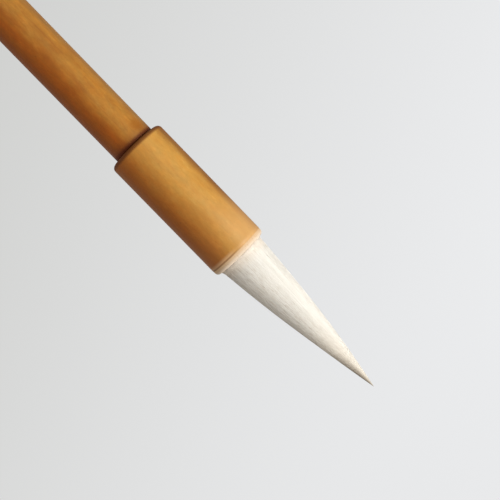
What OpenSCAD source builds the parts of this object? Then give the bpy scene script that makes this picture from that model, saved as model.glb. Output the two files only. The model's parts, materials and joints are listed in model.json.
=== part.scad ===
// Bamboo calligraphy brush with a wide bamboo collar and a soft white hair tuft.
// It hangs by its end plug with the tuft down. Every piece is turned about the Z axis.
// The origin is the mouth of the loop hole, at the very top, so the brush lies below it.
// The tuft's free hair swings on a ball at its base, just outside the collar's mouth.

/* [Handle] */
// Outside diameter of the bamboo handle
handle_d = 14.6; // [13.6:0.1:16]
// Length of handle between the collar and the end plug
handle_len = 175; // [120:1:220]
// Diameter of the hollow along the middle of the handle
handle_bore_d = 5; // [4:0.1:6]
// Diameter of the tenon turned on the handle's lower end
tenon_d = 12; // [10:0.1:12.4]
// Length of the tenon
tenon_len = 22; // [14:0.5:22]
// Rounding of both outer edges of the handle
handle_edge = 0.6; // [0.2:0.1:0.8]

/* [End plug] */
// Height of the plug's head above the handle
head_height = 8; // [7:0.1:9]
// Diameter of the flange that covers the handle's end
flange_d = 13.2; // [12:0.1:13.2]
// Thickness of the flange
flange_height = 1.8; // [1:0.1:2]
// Length of the spigot glued into the handle's hollow
spigot_len = 14; // [8:0.5:20]
// Diameter of the flat at the very top
land_d = 6.2; // [4:0.1:7]
// Diameter of the hole that takes the hanging loop
loop_hole_d = 2.5; // [1.5:0.1:3]
// Depth of that hole
loop_hole_depth = 6; // [4:0.5:6.5]

/* [Collar] */
// Outside diameter of the collar
collar_d = 20; // [20:0.1:24]
// Length of the collar
collar_len = 47; // [46:0.5:60]
// Diameter of the socket bored in the mouth for the hair
socket_d = 16.8; // [16.6:0.1:17]
// Depth of the socket
socket_depth = 21; // [18:0.5:22]
// Rounding of the collar's shoulder, where the handle enters
shoulder_round = 1.5; // [0.5:0.1:1.5]
// Rounding of the collar's lip, around the mouth
lip_round = 1.15; // [0.3:0.05:1.2]
// Height of the lip below the scored line
lip_height = 2.05; // [1.6:0.05:3]

/* [Tuft] */
// Length of hair that stands out of the collar
tuft_len = 60; // [50:1:80]
// Fullness of the tuft: 1 is a straight cone, more is rounder
tuft_fullness = 1.42; // [1:0.01:1.6]
// Width of the hair core at its base, as a share of the tuft
core_share = 0.45; // [0.35:0.01:0.5]
// Width of the lining hair at its base, as a share of the tuft
lining_share = 0.75; // [0.65:0.01:0.8]
// Length of the core, as a share of the free hair
core_len_share = 0.88; // [0.8:0.01:0.92]
// Length of the lining hair, as a share of the free hair
lining_len_share = 0.5; // [0.4:0.01:0.6]
// Diameter of the binding thread
thread_d = 0.6; // [0.4:0.05:0.6]
// Turns of thread around the root
thread_turns = 7; // [4:1:10]

/* [Hidden] */
$fn = 128;

// Glue line between a curved face and the bore it is glued into
glue_line = 0.03;
// Running room between the ball of the tuft and what stands around it
swing_gap = 0.3;
// How far a cutting shape runs on past the face that it opens
overcut = 1;

// Heights of the main planes, counted down from the loop hole's mouth
handle_top_z = -head_height;
collar_top_z = handle_top_z - handle_len;
mouth_z = collar_top_z - collar_len;
tip_z = mouth_z - tuft_len;
socket_floor_z = mouth_z + socket_depth;

// The tuft's ball: its centre lies below the mouth, so that the hair clears the lip
pivot_drop = 3;
pivot_z = mouth_z - pivot_drop;
ball_r = socket_d / 2 - swing_gap;

// The free hair is a little slimmer than the ball, and ends in a blunt point
ball_step = 0.1;
tuft_r = ball_r - ball_step;
free_len = pivot_z - tip_z;
tip_r = 0.15;
outline_steps = 24;

// The glued root fills the socket from the seal down to just inside the mouth
seal_height = 1.5;
seal_top_round = 0.5;
seal_bottom_round = 0.1;
root_inset = 1;
root_r = ball_r;
root_top_z = socket_floor_z - seal_height;
root_bottom_z = mouth_z + root_inset;
glue_inset = 3;
glue_bottom_z = mouth_z + glue_inset;
glue_height = root_top_z - glue_bottom_z;

// The thread lies in a waist around the root; its turns are squeezed a little together
turn_squeeze = 0.95;
thread_pitch = thread_d * turn_squeeze;
thread_facets = 32;
binding_drop = 2.5;
binding_top_z = root_top_z - binding_drop;
waist_r = root_r - thread_d;
waist_height = thread_turns * thread_pitch + thread_d;

// Small turned details
groove_r = 0.2;
mouth_chamfer = 0.15;
neck_height = 0.5;
neck_depth = 0.8;
dome_inset = 0.1;
flange_top_round = 0.5;
flange_bottom_round = 0.2;
spigot_chamfer = 0.8;
tenon_chamfer = 0.8;

// Half outline of a turned rod that stands on z = 0, with its two outer edges rounded
module rod_outline(radius, height, top_round, bottom_round) {
    translate([0, bottom_round]) square([radius, height - top_round - bottom_round]);
    square([radius - bottom_round, bottom_round]);
    translate([0, height - top_round]) square([radius - top_round, top_round]);
    translate([radius - top_round, height - top_round]) circle(top_round);
    translate([radius - bottom_round, bottom_round]) circle(bottom_round);
}

// Radius of a hair layer; share runs from 0 at its tip to 1 at the ball's centre
function hair_r(base_r, share) =
    tip_r + (base_r - tip_r) * share * (tuft_fullness - (tuft_fullness - 1) * share);

// Points down a hair layer from the ball's centre to its tip
function hair_side(base_r, layer_len) =
    [for (step = [0:outline_steps])
        let (share = 1 - step / outline_steps)
        [hair_r(base_r, share), pivot_z - layer_len * (1 - share)]];

// A solid hair layer: a pointed body with a column above it, cut to the ball at its top
module hair_layer(base_r, layer_len, ball) {
    top = [[0, pivot_z + ball], [base_r, pivot_z + ball]];
    intersection() {
        rotate_extrude()
            polygon(concat(top, hair_side(base_r, layer_len), [[0, pivot_z - layer_len]]));
        union() {
            translate([0, 0, pivot_z]) sphere(ball);
            translate([0, 0, tip_z - overcut]) cylinder(h = free_len + overcut, r = ball + overcut);
        }
    }
}

// The core's shape, larger all round by grow
module core_layer(grow, ball) {
    hair_layer(tuft_r * core_share + grow, free_len * core_len_share + grow, ball);
}

// The lining hair's outer shape, larger all round by grow
module lining_layer(grow, ball) {
    hair_layer(tuft_r * lining_share + grow, free_len * lining_len_share + grow, ball);
}

// Bamboo tube with rounded ends, and a tenon turned on its lower end
module handle() {
    color("#b9823a")
    difference() {
        union() {
            translate([0, 0, collar_top_z])
                rotate_extrude() rod_outline(handle_d / 2, handle_len, handle_edge, handle_edge);
            translate([0, 0, collar_top_z - tenon_len + tenon_chamfer])
                cylinder(h = tenon_len, d = tenon_d);
            translate([0, 0, collar_top_z - tenon_len])
                cylinder(h = tenon_chamfer, r1 = tenon_d / 2 - tenon_chamfer, r2 = tenon_d / 2);
        }
        translate([0, 0, collar_top_z - tenon_len - overcut])
            cylinder(h = handle_len + tenon_len + 2 * overcut, d = handle_bore_d);
    }
}

// Turned plug with a domed head, a neck, a flange and a spigot, drilled for the loop
module end_plug() {
    flange_r = flange_d / 2;
    land_r = land_d / 2;
    neck_z = handle_top_z + flange_height;
    dome_base_z = neck_z + neck_height;
    dome_base_r = flange_r - dome_inset;
    // The sphere through the dome's base circle and the edge of the flat at the top
    dome_z = (pow(dome_base_r, 2) + pow(dome_base_z, 2) - pow(land_r, 2)) / (2 * dome_base_z);
    dome_r = sqrt(pow(land_r, 2) + pow(dome_z, 2));
    spigot_r = handle_bore_d / 2 - glue_line;
    color("#5a3320")
    difference() {
        union() {
            translate([0, 0, handle_top_z])
                rotate_extrude()
                    rod_outline(flange_r, flange_height, flange_top_round, flange_bottom_round);
            // The neck runs on into the flange below it and the dome above it
            translate([0, 0, neck_z - neck_height])
                cylinder(h = 3 * neck_height, r = flange_r - neck_depth);
            intersection() {
                translate([0, 0, dome_z]) sphere(dome_r);
                translate([0, 0, dome_base_z]) cylinder(h = -dome_base_z, r = dome_r);
            }
            translate([0, 0, handle_top_z - spigot_len + spigot_chamfer])
                cylinder(h = spigot_len, r = spigot_r);
            translate([0, 0, handle_top_z - spigot_len])
                cylinder(h = spigot_chamfer, r1 = spigot_r - spigot_chamfer, r2 = spigot_r);
        }
        translate([0, 0, -loop_hole_depth])
            cylinder(h = loop_hole_depth + overcut, d = loop_hole_d);
    }
}

// Bamboo collar: tenon bore above, hair socket below, a scored line above its lip
module collar() {
    socket_r = socket_d / 2;
    tenon_bore_r = tenon_d / 2 + glue_line;
    color("#c8904a")
    difference() {
        translate([0, 0, mouth_z])
            rotate_extrude() rod_outline(collar_d / 2, collar_len, shoulder_round, lip_round);
        translate([0, 0, mouth_z - overcut])
            cylinder(h = collar_len + 2 * overcut, r = tenon_bore_r);
        translate([0, 0, mouth_z - overcut]) cylinder(h = socket_depth + overcut, r = socket_r);
        translate([0, 0, mouth_z])
            cylinder(h = mouth_chamfer, r1 = socket_r + mouth_chamfer, r2 = socket_r);
        translate([0, 0, mouth_z + lip_height])
            rotate_extrude() translate([collar_d / 2, 0]) circle(groove_r);
    }
}

// Disc of melted rosin that seals the butt of the hair
module rosin_seal() {
    color("#8a5a22")
    translate([0, 0, root_top_z])
        rotate_extrude() rod_outline(root_r, seal_height, seal_top_round, seal_bottom_round);
}

// Thread wound round the waist of the root, one turn against the next
module root_binding() {
    color("#d9d2c0")
    rotate_extrude()
        for (turn = [0:thread_turns - 1])
            translate([waist_r + thread_d / 2 + glue_line,
                       binding_top_z - thread_d - turn * thread_pitch])
                circle(d = thread_d, $fn = thread_facets);
}

// Ring of glue that holds the bound root in the socket
module root_glue() {
    color("#caa55a")
    difference() {
        translate([0, 0, glue_bottom_z])
            cylinder(h = glue_height, r = socket_d / 2 - glue_line);
        translate([0, 0, glue_bottom_z - overcut])
            cylinder(h = glue_height + 2 * overcut, r = root_r + 2 * glue_line);
    }
}

// The part of the hair that is glued into the socket, waisted where it is bound
module hair_root() {
    color("#e6dcc4")
    difference() {
        translate([0, 0, root_bottom_z]) cylinder(h = root_top_z - root_bottom_z, r = root_r);
        translate([0, 0, binding_top_z - waist_height])
            difference() {
                cylinder(h = waist_height, r = root_r + overcut);
                translate([0, 0, -overcut]) cylinder(h = waist_height + 2 * overcut, r = waist_r);
            }
        translate([0, 0, pivot_z]) sphere(ball_r + swing_gap);
    }
}

// Long, firm hair in the middle of the tuft
module hair_core() {
    color("#efe6d2") core_layer(0, ball_r);
}

// Short hair packed round the core to fill the belly
module hair_lining() {
    color("#e9dfc9")
    difference() {
        lining_layer(0, ball_r);
        core_layer(glue_line, ball_r + overcut);
    }
}

// Fine hair laid round the outside, which forms the tuft's skin and its point
module hair_cover() {
    color("#f6f0e2")
    difference() {
        hair_layer(tuft_r, free_len, ball_r);
        lining_layer(glue_line, ball_r + overcut);
        core_layer(glue_line, ball_r + overcut);
    }
}

handle();
end_plug();
collar();
rosin_seal();
root_binding();
root_glue();
hair_root();
hair_core();
hair_lining();
hair_cover();
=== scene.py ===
"""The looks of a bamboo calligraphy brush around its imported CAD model.
Lengths are in metres, and the tuft points down along -Z."""
import json
import math

import bpy
import numpy as np
from mathutils import Matrix, Vector


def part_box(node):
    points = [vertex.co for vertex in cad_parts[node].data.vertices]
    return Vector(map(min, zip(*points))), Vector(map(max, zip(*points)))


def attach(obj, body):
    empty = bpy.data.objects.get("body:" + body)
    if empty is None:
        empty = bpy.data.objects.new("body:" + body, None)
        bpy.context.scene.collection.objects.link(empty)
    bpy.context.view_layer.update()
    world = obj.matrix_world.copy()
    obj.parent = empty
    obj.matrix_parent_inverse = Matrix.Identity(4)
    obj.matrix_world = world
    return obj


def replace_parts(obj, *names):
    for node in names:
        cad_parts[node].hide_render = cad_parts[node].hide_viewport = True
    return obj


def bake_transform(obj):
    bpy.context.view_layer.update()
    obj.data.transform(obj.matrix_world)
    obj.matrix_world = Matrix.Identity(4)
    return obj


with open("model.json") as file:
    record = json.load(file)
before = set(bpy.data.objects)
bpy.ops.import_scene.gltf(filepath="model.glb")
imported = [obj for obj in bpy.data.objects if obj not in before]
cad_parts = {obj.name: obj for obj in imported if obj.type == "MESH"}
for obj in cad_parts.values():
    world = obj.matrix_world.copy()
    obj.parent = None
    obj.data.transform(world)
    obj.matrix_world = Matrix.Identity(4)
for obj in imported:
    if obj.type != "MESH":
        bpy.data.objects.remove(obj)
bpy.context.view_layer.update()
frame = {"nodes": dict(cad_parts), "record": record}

MM = 0.001
TAU = 2 * math.pi
SEED = 7

# ---------------------------------------------------------------- places from the frame


def node_span(node):
    """Radius, lowest z and highest z of a turned CAD node."""
    lo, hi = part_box(node)
    return (hi.x - lo.x) / 2, lo.z, hi.z


COLLAR_R, MOUTH_Z, COLLAR_TOP_Z = node_span("collar")
HANDLE_R, TENON_END_Z, HANDLE_TOP_Z = node_span("handle")
PLUG_R, SPIGOT_END_Z, PLUG_TOP_Z = node_span("end_plug")
ROOT_R, ROOT_BOTTOM_Z, ROOT_TOP_Z = node_span("hair_root")
THREAD_R, THREAD_BOTTOM_Z, THREAD_TOP_Z = node_span("root_binding")
TIP_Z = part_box("hair_cover")[0].z
TUFT_LEN = MOUTH_Z - TIP_Z
CORE_TIP_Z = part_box("hair_core")[0].z
LINING_TIP_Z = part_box("hair_lining")[0].z
MOUNTS = {m["name"]: m for m in frame["record"]["mounts"]}
LOOP_HOLE_R = MOUNTS["loop_hole"]["dims"]["r_mm"] * MM
LOOP_HOLE_DEPTH = MOUNTS["loop_hole"]["dims"]["length_mm"] * MM

# Sizes of the turned details that the boxes don't give, as in the CAD model
TENON_R = 6 * MM
HANDLE_BORE_R = 2.5 * MM
SOCKET_R = 8.4 * MM
SOCKET_DEPTH = 21 * MM
LIP_H = 2.05 * MM
GROOVE = 0.06 * MM

# ---------------------------------------------------------------- mesh tools

POLE_R = 1e-9
ALL_SMOOTH = 180


def new_mesh_object(name, verts, faces, smooth_angle=40):
    """An object from arrays of points and faces, smooth shaded apart from its sharp edges."""
    mesh = bpy.data.meshes.new(name)
    mesh.from_pydata([tuple(v) for v in verts], [], [tuple(f) for f in faces])
    mesh.validate()
    mesh.polygons.foreach_set("use_smooth", [True] * len(mesh.polygons))
    mesh.set_sharp_from_angle(angle=math.radians(smooth_angle))
    mesh.update()
    obj = bpy.data.objects.new(name, mesh)
    bpy.context.scene.collection.objects.link(obj)
    return obj


def arc(centre_r, centre_z, radius, start_deg, end_deg, steps=8):
    """Points (r, z) along an arc; 0 degrees points outward and 90 points up."""
    angles = np.radians(np.linspace(start_deg, end_deg, steps + 1))
    return [(centre_r + radius * math.cos(a), centre_z + radius * math.sin(a)) for a in angles]


def line(start, end, steps):
    """Points after start, up to and including end, evenly spaced."""
    (r0, z0), (r1, z1) = start, end
    return [(r0 + (r1 - r0) * k / steps, z0 + (z1 - z0) * k / steps) for k in range(1, steps + 1)]


def runs_clockwise(outline):
    """Whether a closed outline of (r, z) points would turn into an inside-out solid."""
    after = outline[1:] + outline[:1]
    return sum(r0 * z1 - r1 * z0 for (r0, z0), (r1, z1) in zip(outline, after)) < 0


def lathe(name, outline, segments=192, ripple=None):
    """Turns a closed outline of (r, z) points about Z. A point at r = 0 becomes a single pole.
    ripple(angle, z) gives how far a point stands out of the true circle."""
    if runs_clockwise(outline):
        outline = outline[::-1]
    verts, rings, faces = [], [], []
    angles = [TAU * k / segments for k in range(segments)]
    for r, z in outline:
        if r < POLE_R:
            rings.append([len(verts)] * segments)
            verts.append((0, 0, z))
            continue
        rings.append(list(range(len(verts), len(verts) + segments)))
        for a in angles:
            out = r + (ripple(a, z) if ripple else 0)
            verts.append((out * math.cos(a), out * math.sin(a), z))
    for k, ring in enumerate(rings):
        after = rings[(k + 1) % len(rings)]
        if ring[0] == ring[1] and after[0] == after[1]:
            continue
        for j in range(segments):
            n = (j + 1) % segments
            corners = [ring[j], ring[n], after[n], after[j]]
            faces.append(list(dict.fromkeys(corners)))
    return new_mesh_object(name, verts, faces)


def natural_ripple(amount, seed, turns=(2, 3, 5), waves=(11, 23, 37)):
    """Slow, shallow unevenness of grown bamboo: a ripple(angle, z) for lathe."""
    rng = np.random.default_rng(seed)
    phases = rng.uniform(0, TAU, (len(turns), 2))

    def ripple(angle, z):
        out = 0
        for (p, q), turn, wave in zip(phases, turns, waves):
            out += math.sin(turn * angle + p + 2 * math.sin(wave * z + q)) / turn
        return amount * out

    return ripple


# ---------------------------------------------------------------- turned pieces

HANDLE_RIPPLE = 0.03 * MM
HANDLE_RINGS = 60
COLLAR_RIPPLE = 0.035 * MM
COLLAR_RINGS = 40
# Depth and height of the scored line's points, from above, in depths of the groove
SCORED_LINE = ((0.3, 1), (1, 0.25), (1, -0.25), (0.5, -0.8))


def make_handle():
    """Bamboo handle with softened edges, its tenon and its hollow."""
    edge = 0.6 * MM
    chamfer = 0.8 * MM
    r, bore = HANDLE_R, HANDLE_BORE_R
    outline = [(bore, HANDLE_TOP_Z)]
    outline += arc(r - edge, HANDLE_TOP_Z - edge, edge, 90, 0)
    outline += line(outline[-1], (r, COLLAR_TOP_Z + edge), HANDLE_RINGS)
    outline += arc(r - edge, COLLAR_TOP_Z + edge, edge, 0, -90)[1:]
    outline += [(TENON_R, COLLAR_TOP_Z)]
    outline += [(TENON_R, TENON_END_Z + chamfer), (TENON_R - chamfer, TENON_END_Z)]
    outline += [(bore, TENON_END_Z)]
    piece = lathe("bamboo_handle", outline, ripple=natural_ripple(HANDLE_RIPPLE, SEED))
    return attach(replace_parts(piece, "handle"), "brush")


def make_collar():
    """Bamboo collar: rounded shoulder, scored line, cut lip, tenon bore and hair socket."""
    shoulder, lip, lip_inset, ease = 1.5 * MM, 1.15 * MM, 0.1 * MM, 0.15 * MM
    r, floor_z, groove_z = COLLAR_R, MOUTH_Z + SOCKET_DEPTH, MOUTH_Z + LIP_H
    outline = [(TENON_R, COLLAR_TOP_Z)]
    outline += arc(r - shoulder, COLLAR_TOP_Z - shoulder, shoulder, 90, 0, 12)
    outline += line(outline[-1], (r, groove_z + 1.5 * GROOVE), COLLAR_RINGS)
    outline += [(r - depth * GROOVE, groove_z + height * GROOVE) for depth, height in SCORED_LINE]
    outline += arc(r - lip - lip_inset, MOUTH_Z + lip, lip, 0, -90, 10)
    outline += arc(SOCKET_R + ease, MOUTH_Z + ease, ease, -90, -180, 5)
    outline += [(SOCKET_R, floor_z), (TENON_R, floor_z)]
    piece = lathe("bamboo_collar", outline, 256, natural_ripple(COLLAR_RIPPLE, SEED + 1))
    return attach(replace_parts(piece, "collar"), "brush")


def make_end_plug():
    """Turned plug: spigot, flange, neck, and a domed head with the loop's blind hole."""
    flange_h, flange_edge, neck, land_r = 1.8 * MM, 0.2 * MM, 0.5 * MM, 3.1 * MM
    ease, spigot_gap, chamfer, base_inset = 0.35 * MM, 0.03 * MM, 0.8 * MM, 0.1 * MM
    spigot_r = HANDLE_BORE_R - spigot_gap
    base_r, base_z = PLUG_R - base_inset, HANDLE_TOP_Z + flange_h + neck
    drop = PLUG_TOP_Z - base_z
    dome_z = PLUG_TOP_Z - (drop ** 2 + base_r ** 2 - land_r ** 2) / (2 * drop)
    dome_r = math.hypot(land_r, PLUG_TOP_Z - dome_z)
    start = math.degrees(math.atan2(base_z - dome_z, base_r))
    end = math.degrees(math.atan2(PLUG_TOP_Z - dome_z, land_r))
    hole_z = PLUG_TOP_Z - LOOP_HOLE_DEPTH
    outline = [(0, SPIGOT_END_Z), (spigot_r - chamfer, SPIGOT_END_Z)]
    outline += [(spigot_r, SPIGOT_END_Z + chamfer), (spigot_r, HANDLE_TOP_Z)]
    outline += arc(PLUG_R - flange_edge, HANDLE_TOP_Z + flange_edge, flange_edge, -90, 0, 4)
    outline += arc(PLUG_R - ease, HANDLE_TOP_Z + flange_h - ease, ease, 0, 90, 6)
    outline += arc(base_r - neck, base_z - neck / 2, neck / 2, -90, -270, 8)
    outline += arc(0, dome_z, dome_r, start, end, 24)
    outline += arc(LOOP_HOLE_R + ease, PLUG_TOP_Z - ease, ease, 90, 180, 5)
    outline += [(LOOP_HOLE_R, hole_z), (0, hole_z)]
    piece = lathe("end_plug_head", outline, 128)
    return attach(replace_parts(piece, "end_plug"), "brush")


# ---------------------------------------------------------------- hair

HAIR_ROOT_R = 8.05 * MM
HAIR_TIP_R = 0.06 * MM
# How many times faster than a cone a bundle widens at its tip
FULLNESS = 1.43
MOUTH_FLARE = 0.33 * MM
FLARE_LEN = 2 * MM
LEAN_AT_ROOT = 0.2 * MM
LEAN_AT_TIP = 1.05 * MM
LEAN_DONE_AT = 0.8
LEAN_STARTS_OVER = 1 / 20
HAIR_START_Z = MOUTH_Z + 0.8 * MM
CORE_HAIR_R = 3.6 * MM
LINING_HAIR_R = 6 * MM
# Below 1, a bundle's rows lie closer together towards its tip
ROWS_TO_TIP = 0.9
# How far hairs wander round the bundle, in radians
SWAY = 0.02
MEAN_TINT = 0.62
# Each set of streaks: width in columns, length as a share of the tuft, and strength
STREAKS = ((1.5, 0.5, 0.09), (5, 0.25, 0.11), (13, 0.16, 0.09))
STREAK_COVER = 2.2
STREAK_SPAN = 6
LOCKS = 90
SHORT_HAIRS = 0.35


def hair_radius(z, base_r=HAIR_ROOT_R, tip_z=TIP_Z):
    """Radius of a pointed hair bundle at height z (arrays work too)."""
    share = np.clip((z - tip_z) / (MOUTH_Z - tip_z), 0, 1)
    return HAIR_TIP_R + (base_r - HAIR_TIP_R) * share * (FULLNESS - (FULLNESS - 1) * share)


def hair_lean(z):
    """How far the tuft's middle line stands to +X at height z."""
    share = np.clip((MOUTH_Z - z) / TUFT_LEN, 0, 1)
    grown = np.clip(share / LEAN_DONE_AT, 0, 1)
    grown = grown ** 2 * (3 - 2 * grown)
    lean = LEAN_AT_ROOT + (LEAN_AT_TIP - LEAN_AT_ROOT) * grown
    return lean * np.clip(share / LEAN_STARTS_OVER, 0, 1)


def bend_with_tuft(piece):
    """Only bakes the piece's placement into its mesh; nothing here bends the hair with the tuft."""
    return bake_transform(piece)


def paint_tint(piece, tints):
    """Stores how light each point's hair is, from 0 to 1."""
    layer = piece.data.attributes.new("tint", "FLOAT", "POINT")
    layer.data.foreach_set("value", np.asarray(tints, np.float32))


def streaks(rng, columns, share):
    """Light and dark streaks, each some hairs wide and part of the tuft long; rows by columns."""
    tint = np.full((len(share), columns), MEAN_TINT)
    around = np.arange(columns)
    for wide, long, strength in STREAKS:
        count = int(STREAK_COVER * columns / wide / long ** 0.5 / STREAK_SPAN)
        for centre, start, sign in zip(rng.uniform(0, columns, count), rng.uniform(-0.1, 1, count),
                                       rng.choice((-1, -1, 1), count)):
            off = np.abs((around - centre + columns / 2) % columns - columns / 2) / wide
            near = off < 3
            across = np.exp(-off[near] ** 2)
            down = np.exp(-((share - start) / long) ** 2)
            tint[:, near] += sign * strength * rng.uniform(0.3, 1) * down[:, None] * across[None, :]
    return np.clip(tint, 0, 1)


def hair_bundle(name, base_r, tip_z, columns, rows, groove, seed):
    """A pointed bundle with a ridge for each few hairs, closed at both ends."""
    rng = np.random.default_rng(seed)
    share = np.linspace(0, 1, rows) ** ROWS_TO_TIP
    z = HAIR_START_Z + (tip_z - HAIR_START_Z) * share
    angle = np.arange(columns) * TAU / columns
    # Each hair lies a little proud or deep, and so does each lock of several hairs.
    hairs = np.clip(rng.normal(0, 1, columns), -1.5, 1.5)
    locks = np.append(np.clip(rng.normal(0, 1, LOCKS), -1.2, 1.2), 0)
    uneven = hairs + np.interp(angle, np.linspace(0, TAU, LOCKS + 1), locks)
    phase = rng.uniform(0, TAU, columns)
    slow = np.sin(phase[None, :] + 9 * share[:, None] + 2 * np.sin(5 * share)[:, None])
    smooth_r = hair_radius(z, base_r, tip_z)
    thinning = np.clip(smooth_r / base_r, 0, 1)[:, None]
    ridge = groove * (0.7 * uneven[None, :] + 0.5 * slow) * thinning
    flare = MOUTH_FLARE * np.clip((z - MOUTH_Z) / FLARE_LEN + 1, 0, 1) ** 3
    r = (smooth_r + flare)[:, None] + ridge
    sway = SWAY * np.sin(6 * share)[:, None] * np.sin(3 * angle)[None, :]
    x = r * np.cos(angle + sway) + hair_lean(z)[:, None]
    y = r * np.sin(angle + sway)
    points = np.stack([x, y, np.broadcast_to(z[:, None], x.shape)], -1).reshape(-1, 3)
    verts = np.vstack([points, [[0, 0, z[0]], [hair_lean(tip_z), 0, tip_z - 3 * HAIR_TIP_R]]])
    j = np.arange(columns)
    n = (j + 1) % columns
    faces = []
    for ring in range(0, (rows - 1) * columns, columns):
        under = ring + columns
        faces += [(ring + a, under + a, under + b, ring + b) for a, b in zip(j, n)]
    top, point, last = rows * columns, rows * columns + 1, (rows - 1) * columns
    faces += [(top, a, b) for a, b in zip(j, n)]
    faces += [(point, last + b, last + a) for a, b in zip(j, n)]
    piece = new_mesh_object(name, verts, faces, ALL_SMOOTH)
    paint_tint(piece, np.append(streaks(rng, columns, share).ravel(), [0.5, 0.5]))
    return piece


def hair_strands(name, count, seed, thickness, stray):
    """Single hairs that lie along the tuft's surface, three-sided and tapered."""
    rng = np.random.default_rng(seed)
    rings, sides = 22, 3
    t = np.linspace(0, 1, rings)[None, :]
    start = rng.uniform(0, TAU, count)[:, None]
    drift = rng.normal(0, 0.05, count)[:, None] * t
    wave = rng.uniform(3, 9, count)[:, None] * t + rng.uniform(0, TAU, count)[:, None]
    theta = start + drift + SWAY * np.sin(wave)
    is_short = rng.random(count) < SHORT_HAIRS
    reach = np.where(is_short, rng.uniform(0.55, 0.97, count), rng.uniform(0.97, 1.0, count))
    z = HAIR_START_Z + (TIP_Z - HAIR_START_Z) * reach[:, None] * t
    tuft_r = hair_radius(z)
    narrow = tuft_r / HAIR_ROOT_R
    depth = rng.uniform(-0.02, 0.004, count)[:, None]
    bow = stray * np.abs(rng.normal(0, 1, count))[:, None] * np.sin(math.pi * t) ** 2
    out = tuft_r * (1 + depth) + bow * narrow
    half = thickness * rng.uniform(0.6, 1.2, count)[:, None] * (1 - t ** 3 * 0.85)
    half = half * (0.35 + 0.65 * narrow)
    centre = np.stack([out * np.cos(theta) + hair_lean(z), out * np.sin(theta), z], -1)
    radial = np.stack([np.cos(theta), np.sin(theta), 0 * theta], -1)
    around = np.stack([-np.sin(theta), np.cos(theta), 0 * theta], -1)
    turn = TAU * np.arange(sides) / sides
    corner = np.cos(turn)[:, None] * radial[:, :, None] + np.sin(turn)[:, None] * around[:, :, None]
    verts = (centre[:, :, None] + half[:, :, None, None] * corner).reshape(-1, 3)
    base = (np.arange(count) * rings * sides)[:, None, None]
    upper = base + (np.arange(rings - 1) * sides)[None, :, None]
    lower = upper + sides
    j = np.arange(sides)[None, None, :]
    n = (j + 1) % sides
    quads = np.stack([upper + j, lower + j, lower + n, upper + n], -1).reshape(-1, 4)
    first = base[:, 0, 0]
    last = first + (rings - 1) * sides
    faces = [tuple(q) for q in quads.tolist()]
    faces += [(a, a + 1, a + 2) for a in first.tolist()]
    faces += [(a + 2, a + 1, a) for a in last.tolist()]
    piece = new_mesh_object(name, verts, faces, ALL_SMOOTH)
    paint_tint(piece, np.repeat(rng.uniform(0.25, 0.95, count), rings * sides))
    return piece


def make_bound_root():
    """The butt of the hair inside the socket: a ridge for each few hairs, and a tied waist."""
    ease, waist_depth, segments = 0.3 * MM, 0.66 * MM, 240
    waist_r = THREAD_R - waist_depth
    outline = [(0, ROOT_BOTTOM_Z)]
    outline += arc(ROOT_R - ease, ROOT_BOTTOM_Z + ease, ease, -90, 0, 4)
    outline += line(outline[-1], (ROOT_R, THREAD_BOTTOM_Z - ease), 12)
    outline += line((waist_r, THREAD_BOTTOM_Z), (waist_r, THREAD_TOP_Z), 8)
    outline += [(ROOT_R, THREAD_TOP_Z + ease)]
    outline += arc(ROOT_R - ease, ROOT_TOP_Z - ease, ease, 0, 90, 4) + [(0, ROOT_TOP_Z)]
    rng = np.random.default_rng(SEED + 30)
    ridges = rng.uniform(-0.06 * MM, 0, segments)
    piece = lathe("bound_hair_root", outline, segments,
                  lambda angle, z: ridges[round(angle / TAU * segments)])
    tints = rng.uniform(0.3, 0.9, segments)
    paint_tint(piece, [tints[round(math.atan2(v.co.y, v.co.x) / TAU * segments) % segments]
                       for v in piece.data.vertices])
    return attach(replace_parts(piece, "hair_root"), "brush")


def make_binding():
    """One two-ply thread wound round the waist of the root, each turn against the next."""
    radius, sides, steps, twist = 0.3 * MM, 12, 96, 14
    pitch = 0.95 * 2 * radius
    turns = (THREAD_TOP_Z - THREAD_BOTTOM_Z - 2 * radius) / pitch
    verts, faces = [], []
    rings = round(turns * steps) + 1
    for k in range(rings):
        around = TAU * turns * k / (rings - 1)
        z = THREAD_TOP_Z - radius - pitch * turns * k / (rings - 1)
        for j in range(sides):
            a = TAU * j / sides
            out = radius * (0.9 + 0.1 * math.cos(2 * a - twist * around))
            r = THREAD_R - radius + out * math.cos(a)
            verts.append((r * math.cos(around), r * math.sin(around), z + out * math.sin(a)))
    for k in range(rings - 1):
        for j in range(sides):
            a, b = k * sides + j, k * sides + (j + 1) % sides
            faces.append((a, a + sides, b + sides, b))
    last = (rings - 1) * sides
    faces += [tuple(range(sides)), tuple(range(last + sides - 1, last - 1, -1))]
    piece = new_mesh_object("root_thread", verts, faces)
    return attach(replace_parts(piece, "root_binding"), "brush")


def make_tuft():
    """The covering hair with its single hairs, and the core and lining hair inside it."""
    cover = hair_bundle("tuft_cover_hair", HAIR_ROOT_R, TIP_Z,
                        columns=900, rows=105, groove=0.02 * MM, seed=SEED)
    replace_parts(cover, "hair_cover")
    strands = hair_strands("tuft_single_hairs", 900, SEED + 10,
                           thickness=0.018 * MM, stray=0.03 * MM)
    core = hair_bundle("tuft_core_hair", CORE_HAIR_R, CORE_TIP_Z,
                       columns=120, rows=60, groove=0.03 * MM, seed=SEED + 20)
    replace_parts(core, "hair_core")
    lining = hair_bundle("tuft_lining_hair", LINING_HAIR_R, LINING_TIP_Z,
                         columns=160, rows=40, groove=0.03 * MM, seed=SEED + 21)
    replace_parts(lining, "hair_lining")
    for piece in (cover, strands, core, lining):
        bend_with_tuft(piece)
    return cover, strands, core, lining


# ---------------------------------------------------------------- materials

# Places of the colour sockets on the Mix node, whose names repeat
MIX_FACTOR, MIX_A, MIX_B, MIX_RESULT = 0, 6, 7, 2

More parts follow.
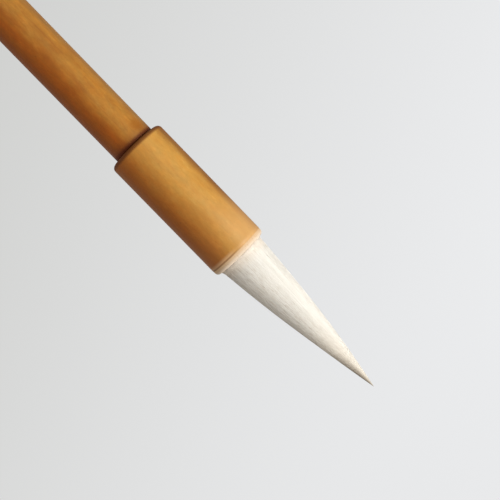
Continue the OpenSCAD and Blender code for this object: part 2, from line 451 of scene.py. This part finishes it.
# Colours in linear light
SHEEN_COLOR = (0.72, 0.42, 0.17)
SHOULDER_GRAIN_AND_SHADE = (0.18, 0.053, 0.009)
NICK_CREAM = (0.8, 0.58, 0.34)
FLESH_DARK, FLESH_LIGHT = (0.66, 0.43, 0.23), (0.74, 0.53, 0.32)
FLESH_AT_MOUTH = (0.75, 0.614, 0.47)
PORE_BROWN = (0.5, 0.32, 0.17)
GROOVE_SHADE = (0.2, 0.08, 0.02)
END_GRAIN = (0.2, 0.1, 0.04)
STAIN = (0.33, 0.11, 0.008)
COLLAR_SHADOW = (0.17, 0.045, 0.008)
JOINT_DARK = (0.15, 0.027, 0.004)
WOOD_DARK, WOOD_LIGHT = (0.055, 0.022, 0.012), (0.16, 0.065, 0.03)
THREAD_DARK, THREAD_LIGHT = (0.55, 0.5, 0.38), (0.8, 0.76, 0.66)
TAN_AND_SHADE = (0.74, 0.64, 0.49)
TIP_SHADE = (0.3, 0.245, 0.18)
ROOT_HAIR = (0.7, 0.58, 0.45)
# What each of these does to the colour under it
MOTTLE = (0.8, 0.78, 0.7), (1.2, 1.22, 1.3)
HUE_SHIFT = (1.07, 0.95, 0.75), (0.93, 1.05, 1.2)
PALE_BLOTCH = (1.35, 1.5, 1.9)
HAIR_SHADE_TINT = (0.78, 0.71, 0.64)


class Nodes:
    """A material's node tree, with short calls to add and join its nodes."""

    def __init__(self, name):
        self.material = bpy.data.materials.new(name)
        self.material.use_nodes = True
        self.tree = self.material.node_tree
        self.shader = self.tree.nodes["Principled BSDF"]

    def add(self, kind, inputs=None, **settings):
        """A new node, with its settings made and its inputs joined or set."""
        node = self.tree.nodes.new(kind)
        for key, value in settings.items():
            setattr(node, key, value)
        for key, value in (inputs or {}).items():
            self.put(node, key, value)
        return node

    def put(self, node, key, value):
        """Joins a socket to an input, or sets the input to a value."""
        if isinstance(value, bpy.types.NodeSocket):
            self.tree.links.new(value, node.inputs[key])
        else:
            node.inputs[key].default_value = value

    def place(self):
        """Where a point is in the frame."""
        return self.add("ShaderNodeTexCoord").outputs["Object"]

    def axis(self, letter):
        """The X, Y or Z of a point in the frame."""
        return self.add("ShaderNodeSeparateXYZ", {"Vector": self.place()}).outputs[letter]

    def noise(self, scale, stretch, detail=4, roughness=0.6):
        """Grey noise in the frame's own space. A stretch below 1 draws it out along the brush."""
        moved = self.add("ShaderNodeMapping", {"Vector": self.place(), "Scale": (1, 1, stretch)})
        made = self.add("ShaderNodeTexNoise", {"Vector": moved.outputs["Vector"], "Scale": scale,
                                               "Detail": detail, "Roughness": roughness})
        return made.outputs["Fac"]

    def ramp(self, value, low, high, to_low=0.0, to_high=1.0, smooth=True):
        """Maps low..high to to_low..to_high, clamped."""
        return self.add("ShaderNodeMapRange", {"Value": value, "From Min": low, "From Max": high,
                                               "To Min": to_low, "To Max": to_high},
                        interpolation_type="SMOOTHSTEP" if smooth else "LINEAR").outputs["Result"]

    def mix(self, factor, first, second, blend="MIX"):
        """Mixes two colours, by a number or a socket."""
        node = self.add("ShaderNodeMix", data_type="RGBA", blend_type=blend)
        self.put(node, MIX_FACTOR, factor)
        for index, value in ((MIX_A, first), (MIX_B, second)):
            self.put(node, index, value if isinstance(value, bpy.types.NodeSocket) else (*value, 1))
        return node.outputs[MIX_RESULT]

    def math(self, operation, first, second=0.0):
        """One sum on two numbers or sockets."""
        node = self.add("ShaderNodeMath", operation=operation)
        self.put(node, 0, first)
        self.put(node, 1, second)
        return node.outputs[0]

    def bump(self, height, strength, distance):
        """A normal that follows a height from 0 to 1, which stands for a distance in metres."""
        return self.add("ShaderNodeBump", {"Height": height, "Strength": strength,
                                           "Distance": distance}).outputs["Normal"]

    def finish(self, color, roughness, normal=None, **fixed):
        """Sets the shader's inputs. In their names here, an underscore stands for a space."""
        self.put(self.shader, "Base Color", color)
        self.put(self.shader, "Roughness", roughness)
        if normal is not None:
            self.put(self.shader, "Normal", normal)
        for key, value in fixed.items():
            self.put(self.shader, key.replace("_", " "), value)
        return self.material


def times(color, factors):
    """A colour with each part multiplied by its own factor."""
    return tuple(c * f for c, f in zip(color, factors))


def bamboo(name, look, ends):
    """Waxed bamboo skin: long fibres, soft blotches and specks, over painted light: a lit, yellower
    side towards +X, a painted shaded side towards -X, and a painted shadow on the far +X rim.
    ends(n, color, side) paints what is cut or stained, the darker joint, and the painted shade,
    shadow and sheen near the ends, and says how dull it is."""
    n = Nodes(name)
    deep, radius = look["deep"], look["radius"]
    fibres, blotches = look["fibres"], look["blotches"]
    side = n.axis("X")
    cloud = n.noise(170, 0.3, 3, 0.5)
    blotch = n.noise(420, 0.45, 4, 0.6)
    fibre = n.noise(1100, 0.018, 5, 0.65)
    fine = n.noise(3400, 0.012, 3, 0.7)
    speck = n.noise(1500, 0.35, 2, 0.5)

    # The painted lit side and painted shaded side meet on a wandering line, and a painted shadow
    # darkens the skin again at far +X.
    wander = n.math("MULTIPLY", n.math("SUBTRACT", cloud, 0.5), 5 * MM)
    turn = n.ramp(n.math("ADD", side, wander), look["shaded_from"], look["lit_from"])
    color = n.mix(turn, look["shaded_side"], look["lit_side"])
    # Painted shadow: the skin darkens towards the far +X rim.
    far = n.ramp(n.math("ADD", side, n.math("MULTIPLY", wander, 0.5)),
                 look["far_shadow_from"] * radius, radius, 0, look["far_shadow_strength"])
    color = n.mix(far, color, look["far_shadow_color"])

    mottle = n.mix(n.ramp(n.noise(800, 0.4, 5, 0.7), 0.3, 0.7, smooth=False), *MOTTLE)
    color = n.mix(look["mottle"], color, mottle, "MULTIPLY")
    hue = n.mix(n.ramp(n.noise(520, 0.5, 3, 0.55), 0.3, 0.7, smooth=False), *HUE_SHIFT)
    color = n.mix(look["mottle"], color, hue, "MULTIPLY")
    color = n.mix(n.ramp(cloud, 0.5, 0.28, 0, blotches), color, deep)
    color = n.mix(n.ramp(blotch, 0.56, 0.74, 0, 0.7 * blotches), color, deep)
    color = n.mix(n.ramp(blotch, 0.46, 0.28, 0, blotches), color, PALE_BLOTCH, "MULTIPLY")
    color = n.mix(n.ramp(fibre, 0.5, 0.76, 0, fibres), color, deep)
    color = n.mix(n.ramp(fine, 0.46, 0.74, 0, 0.6 * fibres), color, deep)
    color = n.mix(n.ramp(speck, 0.71, 0.79, 0, 0.4), color, times(deep, (0.4, 0.4, 0.4)))

    color, dull = ends(n, color, side)
    rough = n.math("ADD", n.ramp(fibre, 0.3, 0.7, 0.4, 0.5), n.math("MULTIPLY", dull, 0.3))
    relief = n.math("ADD", n.math("MULTIPLY", fibre, 0.7), n.math("MULTIPLY", fine, 0.5))
    return n.finish(color, rough, n.bump(relief, 0.3, 0.06 * MM), Specular_IOR_Level=0.24,
                    Coat_Weight=0.08, Coat_Roughness=0.32, Coat_IOR=1.45)


def collar_ends(n, color, side):
    """A painted sheen, paler towards the mouth and strongest on the +X side; a dull shoulder, brown
    partly from end grain and partly from painted shade; a pale nick, a faint scored line darkened
    by painted shade, a cut lip.
    """
    z = n.axis("Z")
    groove_z = MOUTH_Z + LIP_H
    # Painted sheen: paler towards the mouth, strongest on the +X side.
    painted_sheen = n.math("MULTIPLY", n.ramp(z, MOUTH_Z + 24 * MM, MOUTH_Z, 0, 0.5),
                   n.ramp(side, -2 * MM, 8 * MM, 0.15, 1.1))
    color = n.mix(painted_sheen, color, SHEEN_COLOR)
    # The shoulder's brown is partly end grain and partly painted shade where the rounded edge turns
    # from the light.
    shoulder = n.ramp(z, COLLAR_TOP_Z - 1.8 * MM, COLLAR_TOP_Z - 0.9 * MM, 0, 0.85)
    color = n.mix(shoulder, color, SHOULDER_GRAIN_AND_SHADE)
    nick = n.math("MULTIPLY", n.ramp(z, groove_z + 1.7 * MM, groove_z + 0.4 * MM),
                  n.ramp(side, -2.8 * MM, 0.6 * MM, 0.42, 0.07))
    color = n.mix(nick, color, NICK_CREAM)
    flesh = n.mix(n.noise(1800, 0.1), FLESH_DARK, FLESH_LIGHT)
    flesh = n.mix(n.ramp(z, groove_z - 0.4 * MM, MOUTH_Z + 0.3 * MM), flesh, FLESH_AT_MOUTH)
    pores = n.ramp(n.noise(2600, 0.5, 2, 0.5), 0.57, 0.68, 0, 0.4)
    flesh = n.mix(pores, flesh, PORE_BROWN)
    lip = n.ramp(z, groove_z + 0.15 * MM, groove_z - 0.35 * MM)
    color = n.mix(lip, color, flesh)
    # Painted shade in the scored line's groove, fading out towards the +X side.
    off_line = n.math("ABSOLUTE", n.math("SUBTRACT", z, groove_z + 0.05 * MM))
    scored = n.math("MULTIPLY", n.ramp(off_line, 0.42 * MM, 0.1 * MM),
                    n.ramp(side, -3 * MM, 3 * MM, 0.6, 0))
    color = n.mix(scored, color, GROOVE_SHADE)
    return color, n.math("MAXIMUM", shoulder, lip)


def handle_ends(n, color, side):
    """End grain at the top; a stain, a painted shadow of the collar on the handle above the joint,
    and darker skin right at the joint.
    """
    z = n.axis("Z")
    top = n.ramp(z, HANDLE_TOP_Z - 0.5 * MM, HANDLE_TOP_Z, 0, 0.6)
    color = n.mix(top, color, END_GRAIN)
    stain_at = (0.7 * HANDLE_R, -0.71 * HANDLE_R, COLLAR_TOP_Z + 4 * MM)
    away = n.add("ShaderNodeVectorMath", {0: n.place(), 1: stain_at}, operation="DISTANCE")
    uneven = n.math("MULTIPLY", n.noise(500, 0.6, 3), 2.4 * MM)
    stain = n.ramp(n.math("ADD", away.outputs["Value"], uneven), 4.5 * MM, 2 * MM, 0, 0.8)
    color = n.mix(stain, color, STAIN)
    # Painted shadow cast by the collar, fading up the handle from the joint.
    collar_shadow = n.ramp(z, COLLAR_TOP_Z + 4.5 * MM, COLLAR_TOP_Z + 0.5 * MM, 0, 0.5)
    color = n.mix(collar_shadow, color, COLLAR_SHADOW)
    # Darker right at the joint.
    foot = n.ramp(z, COLLAR_TOP_Z + 2 * MM, COLLAR_TOP_Z + 0.7 * MM, 0, 0.85)
    return n.mix(foot, color, JOINT_DARK), n.math("MAXIMUM", foot, top)


def goat_hair(name, light, dark, scatter):
    """White goat hair: lighter and darker hairs; painted shade between hairs in short grey flecks,
    stronger away from the +X side; a tan tone towards the point, partly painted shade as it is
    stronger away from +X; painted shade on the -X side of the very point.
    scatter is how much light spreads through it: none in single or hidden hair."""
    n = Nodes(name)
    z, side = n.axis("Z"), n.axis("X")
    tint = n.add("ShaderNodeAttribute", attribute_name="tint").outputs["Fac"]
    color = n.mix(n.ramp(tint, 0.2, 0.9, smooth=False), dark, light)
    # Painted shade between hairs: short grey flecks, stronger away from the +X side.
    hair_shade = n.math("MULTIPLY", n.ramp(n.noise(3400, 0.06, 4, 0.7), 0.44, 0.72, 0, 0.8),
                 n.ramp(side, 4 * MM, -1 * MM, 0.12, 1))
    color = n.mix(hair_shade, color, times(dark, HAIR_SHADE_TINT))
    # A tan tone towards the point, partly the hair's own and partly painted shade, as it is
    # stronger away from the +X side.
    tan = n.math("MULTIPLY", n.ramp(z, TIP_Z + 36 * MM, TIP_Z + 8 * MM, 0, 0.45),
                 n.ramp(side, 1 * MM, 4.5 * MM, 1, 0.2))
    color = n.mix(tan, color, TAN_AND_SHADE)
    # Painted shade on the -X side of the point.
    shaded = n.ramp(side, LEAN_AT_TIP + 0.9 * MM, LEAN_AT_TIP - 0.5 * MM, 0.05, 0.95)
    tip = n.math("MULTIPLY", n.ramp(z, TIP_Z + 17 * MM, TIP_Z + 2 * MM, smooth=False), shaded)
    color = n.mix(tip, color, TIP_SHADE)
    color = n.mix(n.ramp(z, MOUTH_Z - 5 * MM, MOUTH_Z, 0, 0.5), color, ROOT_HAIR)
    if scatter:
        n.shader.subsurface_method = "BURLEY"
        inside = n.math("MULTIPLY", n.ramp(z, TIP_Z, TIP_Z + 45 * MM, 0.1, 1, smooth=False),
                        n.ramp(z, MOUTH_Z, MOUTH_Z - 7 * MM, 0.3, 1))
        n.put(n.shader, "Subsurface Scale", inside)
        n.put(n.shader, "Subsurface Weight", n.ramp(z, TIP_Z + 3 * MM, TIP_Z + 30 * MM, 0, scatter))
    spread = (9 * MM, 9 * MM, 9 * MM)
    return n.finish(color, 0.6, Specular_IOR_Level=0.2, Sheen_Weight=0.15, Subsurface_Radius=spread)


def dark_wood(name):
    """Turned and polished brown wood, with its grain along the brush."""
    n = Nodes(name)
    grain = n.noise(700, 0.06, 6, 0.65)
    color = n.mix(n.ramp(grain, 0.3, 0.7), WOOD_DARK, WOOD_LIGHT)
    return n.finish(color, n.ramp(grain, 0.3, 0.7, 0.25, 0.42), n.bump(grain, 0.25, 0.05 * MM),
                    Coat_Weight=0.3, Coat_Roughness=0.2)


def resin(name, deep, thin):
    """Rosin or glue: glossy, and cloudy between two colours."""
    n = Nodes(name)
    cloud = n.noise(400, 1.0, 3)
    color = n.mix(n.ramp(cloud, 0.3, 0.7), deep, thin)
    return n.finish(color, n.ramp(cloud, 0.3, 0.7, 0.15, 0.35), n.bump(cloud, 0.2, 0.1 * MM))


def twisted_thread(name):
    """Undyed, rough thread."""
    n = Nodes(name)
    twist = n.noise(2500, 0.6, 3)
    color = n.mix(n.ramp(twist, 0.3, 0.7), THREAD_DARK, THREAD_LIGHT)
    return n.finish(color, 0.8, n.bump(twist, 0.5, 0.1 * MM))


def paint(obj, material):
    """Gives an object this material and no other."""
    obj.data.materials.clear()
    obj.data.materials.append(material)


# ---------------------------------------------------------------- stage, light and camera

# The backdrop's painted glow grows lighter along this direction, from one distance to the other
SHADE_ALONG = (0.45, 0, -0.893)
SHADE_SPAN = (-0.66, 1.09)
GLOW_DARK, GLOW_LIGHT = (0.604, 0.607, 0.591), (0.871, 0.879, 0.896)
# The key light's direction from the mouth: how far round from the camera, and below level
KEY_SIDE, KEY_BELOW = math.radians(41), math.radians(28)
ROOM_COLOR, ROOM_STRENGTH = (1, 0.93, 0.865, 1), 0.385
# The camera's picture, how it is turned, and where it aims from the middle of the mouth
FOCAL_PX, IMAGE_PX, SENSOR_MM, MM_PER_PX = 950, 500, 36, 0.315
CAMERA_TURN, CAMERA_TILT = math.radians(44.2), math.radians(4)
AIM_ASIDE, AIM_BELOW = 9.8 * MM_PER_PX * MM, 1.2 * MM


def make_stage():
    """One pale sheet: a flat round floor far below the brush that curves up into a wall. Its colour
    is a painted glow, lighter along one direction; it only shows behind the brush, and neither
    lights nor shades it."""
    floor_z, flat_r, bend_r, wall_top = TIP_Z - 0.5, 1.4, 0.8, 2.2
    outline = [(0, floor_z)] + line((0, floor_z), (flat_r, floor_z), 6)
    outline += arc(flat_r, floor_z + bend_r, bend_r, -90, 0, 16)[1:]
    outline += line(outline[-1], (flat_r + bend_r, wall_top), 6)
    verts, faces, segments = [], [], 96
    for r, z in outline:
        verts += [(r * math.cos(TAU * k / segments), r * math.sin(TAU * k / segments), z)
                  for k in range(segments)]
    for ring in range(len(outline) - 1):
        for k in range(segments):
            a, b = ring * segments + k, ring * segments + (k + 1) % segments
            faces.append((a, b, b + segments, a + segments))
    sheet = new_mesh_object("pale_backdrop", verts, faces, ALL_SMOOTH)
    sheet.visible_diffuse = False
    sheet.visible_glossy = False
    sheet.visible_shadow = False
    n = Nodes("backdrop_glow")
    across = n.add("ShaderNodeVectorMath", {0: n.place(), 1: SHADE_ALONG}, operation="DOT_PRODUCT")
    shade = n.ramp(across.outputs["Value"], *SHADE_SPAN, smooth=False)
    # The sheet glows in a painted gradient of light instead of being lit.
    n.put(n.shader, "Emission Color", n.mix(shade, GLOW_DARK, GLOW_LIGHT))
    n.finish((0, 0, 0, 1), 1.0, Specular_IOR_Level=0.0, Emission_Strength=1.0)
    paint(sheet, n.material)


def area_light(name, direction, distance, size, power, color=(1, 1, 1), glints=True):
    """A soft square light that faces the mouth of the collar."""
    target = Vector((0, 0, MOUTH_Z))
    back = Vector(direction).normalized()
    data = bpy.data.lights.new(name, "AREA")
    data.size, data.energy, data.color = size, power, color
    lamp = bpy.data.objects.new(name, data)
    lamp.location = target + back * distance
    lamp.rotation_mode = "QUATERNION"
    lamp.rotation_quaternion = back.to_track_quat("Z", "Y")
    lamp.visible_camera = False
    lamp.visible_glossy = glints
    bpy.context.scene.collection.objects.link(lamp)


def make_lights():
    """A soft key from the camera's right, a weaker one behind the brush, and the room's fill."""
    level = math.cos(KEY_BELOW)
    key = (math.sin(KEY_SIDE) * level, -math.cos(KEY_SIDE) * level, -math.sin(KEY_BELOW))
    area_light("key_softbox", key, distance=0.9, size=0.5, power=8.8, color=(1, 1, 0.99))
    behind = (0.1, 1, 0.3)
    area_light("back_softbox", behind, distance=0.9, size=0.6, power=6, glints=False)
    world = bpy.data.worlds.new("room")
    world.use_nodes = True
    background = world.node_tree.nodes["Background"]
    background.inputs["Color"].default_value = ROOM_COLOR
    background.inputs["Strength"].default_value = ROOM_STRENGTH
    bpy.context.scene.world = world


def make_camera():
    """Faces the collar's mouth from the front, a little from above, turned so the tuft points
    down to the right."""
    turn, tilt = CAMERA_TURN, CAMERA_TILT
    distance = FOCAL_PX * MM_PER_PX * MM
    aim = Vector((AIM_ASIDE, 0, MOUTH_Z - AIM_BELOW))
    look = Vector((0, math.cos(tilt), -math.sin(tilt)))
    level_up = Vector((0, math.sin(tilt), math.cos(tilt)))
    right = Vector((1, 0, 0)) * math.cos(turn) - level_up * math.sin(turn)
    up = Vector((1, 0, 0)) * math.sin(turn) + level_up * math.cos(turn)
    data = bpy.data.cameras.new("camera")
    data.sensor_width = SENSOR_MM
    data.lens = FOCAL_PX / IMAGE_PX * SENSOR_MM
    camera = bpy.data.objects.new("camera", data)
    axes = Matrix((right, up, -look)).transposed()
    camera.matrix_world = Matrix.Translation(aim - look * distance) @ axes.to_4x4()
    bpy.context.scene.collection.objects.link(camera)
    bpy.context.scene.camera = camera


# ---------------------------------------------------------------- build

make_camera()
make_stage()
make_lights()
bpy.context.scene.view_settings.view_transform = "Standard"

COVER_HAIR = goat_hair("white_goat_hair",
                       light=(0.82, 0.8, 0.749), dark=(0.65, 0.626, 0.563), scatter=1.0)
SINGLE_HAIR = goat_hair("single_goat_hair",
                        light=(0.91, 0.89, 0.84), dark=(0.8, 0.77, 0.7), scatter=0.0)
INNER_HAIR = goat_hair("packed_goat_hair",
                       light=(0.85, 0.8, 0.7), dark=(0.66, 0.6, 0.5), scatter=0.0)
ROSIN = resin("rosin", deep=(0.1, 0.04, 0.012), thin=(0.3, 0.15, 0.04))
GLUE = resin("glue", deep=(0.4, 0.28, 0.1), thin=(0.6, 0.47, 0.22))
# Where the bamboo's painted shaded side, lit side and painted far shadow lie along X; the far
# shadow's start is a share of the radius
HANDLE_LOOK = {
    "radius": HANDLE_R, "shaded_from": -2.8 * MM, "lit_from": 2 * MM,
    "far_shadow_from": 0.66, "far_shadow_strength": 0.55, "far_shadow_color": (0.25, 0.13, 0.035),
    "lit_side": (0.44, 0.187, 0.026), "shaded_side": (0.34, 0.087, 0.005),
    "deep": (0.23, 0.07, 0.01), "fibres": 0.36, "blotches": 0.38, "mottle": 0.6}
COLLAR_LOOK = {
    "radius": COLLAR_R, "shaded_from": -7.5 * MM, "lit_from": 3 * MM,
    "far_shadow_from": 0.7, "far_shadow_strength": 1.0, "far_shadow_color": (0.209, 0.067, 0.002),
    "lit_side": (0.555, 0.278, 0.052), "shaded_side": (0.37, 0.106, 0.008),
    "deep": (0.37, 0.15, 0.027), "fibres": 0.2, "blotches": 0.28, "mottle": 0.5}

paint(make_handle(), bamboo("handle_bamboo", HANDLE_LOOK, handle_ends))
paint(make_collar(), bamboo("collar_bamboo", COLLAR_LOOK, collar_ends))
paint(make_end_plug(), dark_wood("plug_wood"))
for piece, material in zip(make_tuft(), (COVER_HAIR, SINGLE_HAIR, INNER_HAIR, INNER_HAIR)):
    paint(piece, material)
paint(make_bound_root(), INNER_HAIR)
paint(make_binding(), twisted_thread("binding_thread"))
paint(frame["nodes"]["rosin_seal"], ROSIN)
paint(frame["nodes"]["root_glue"], GLUE)
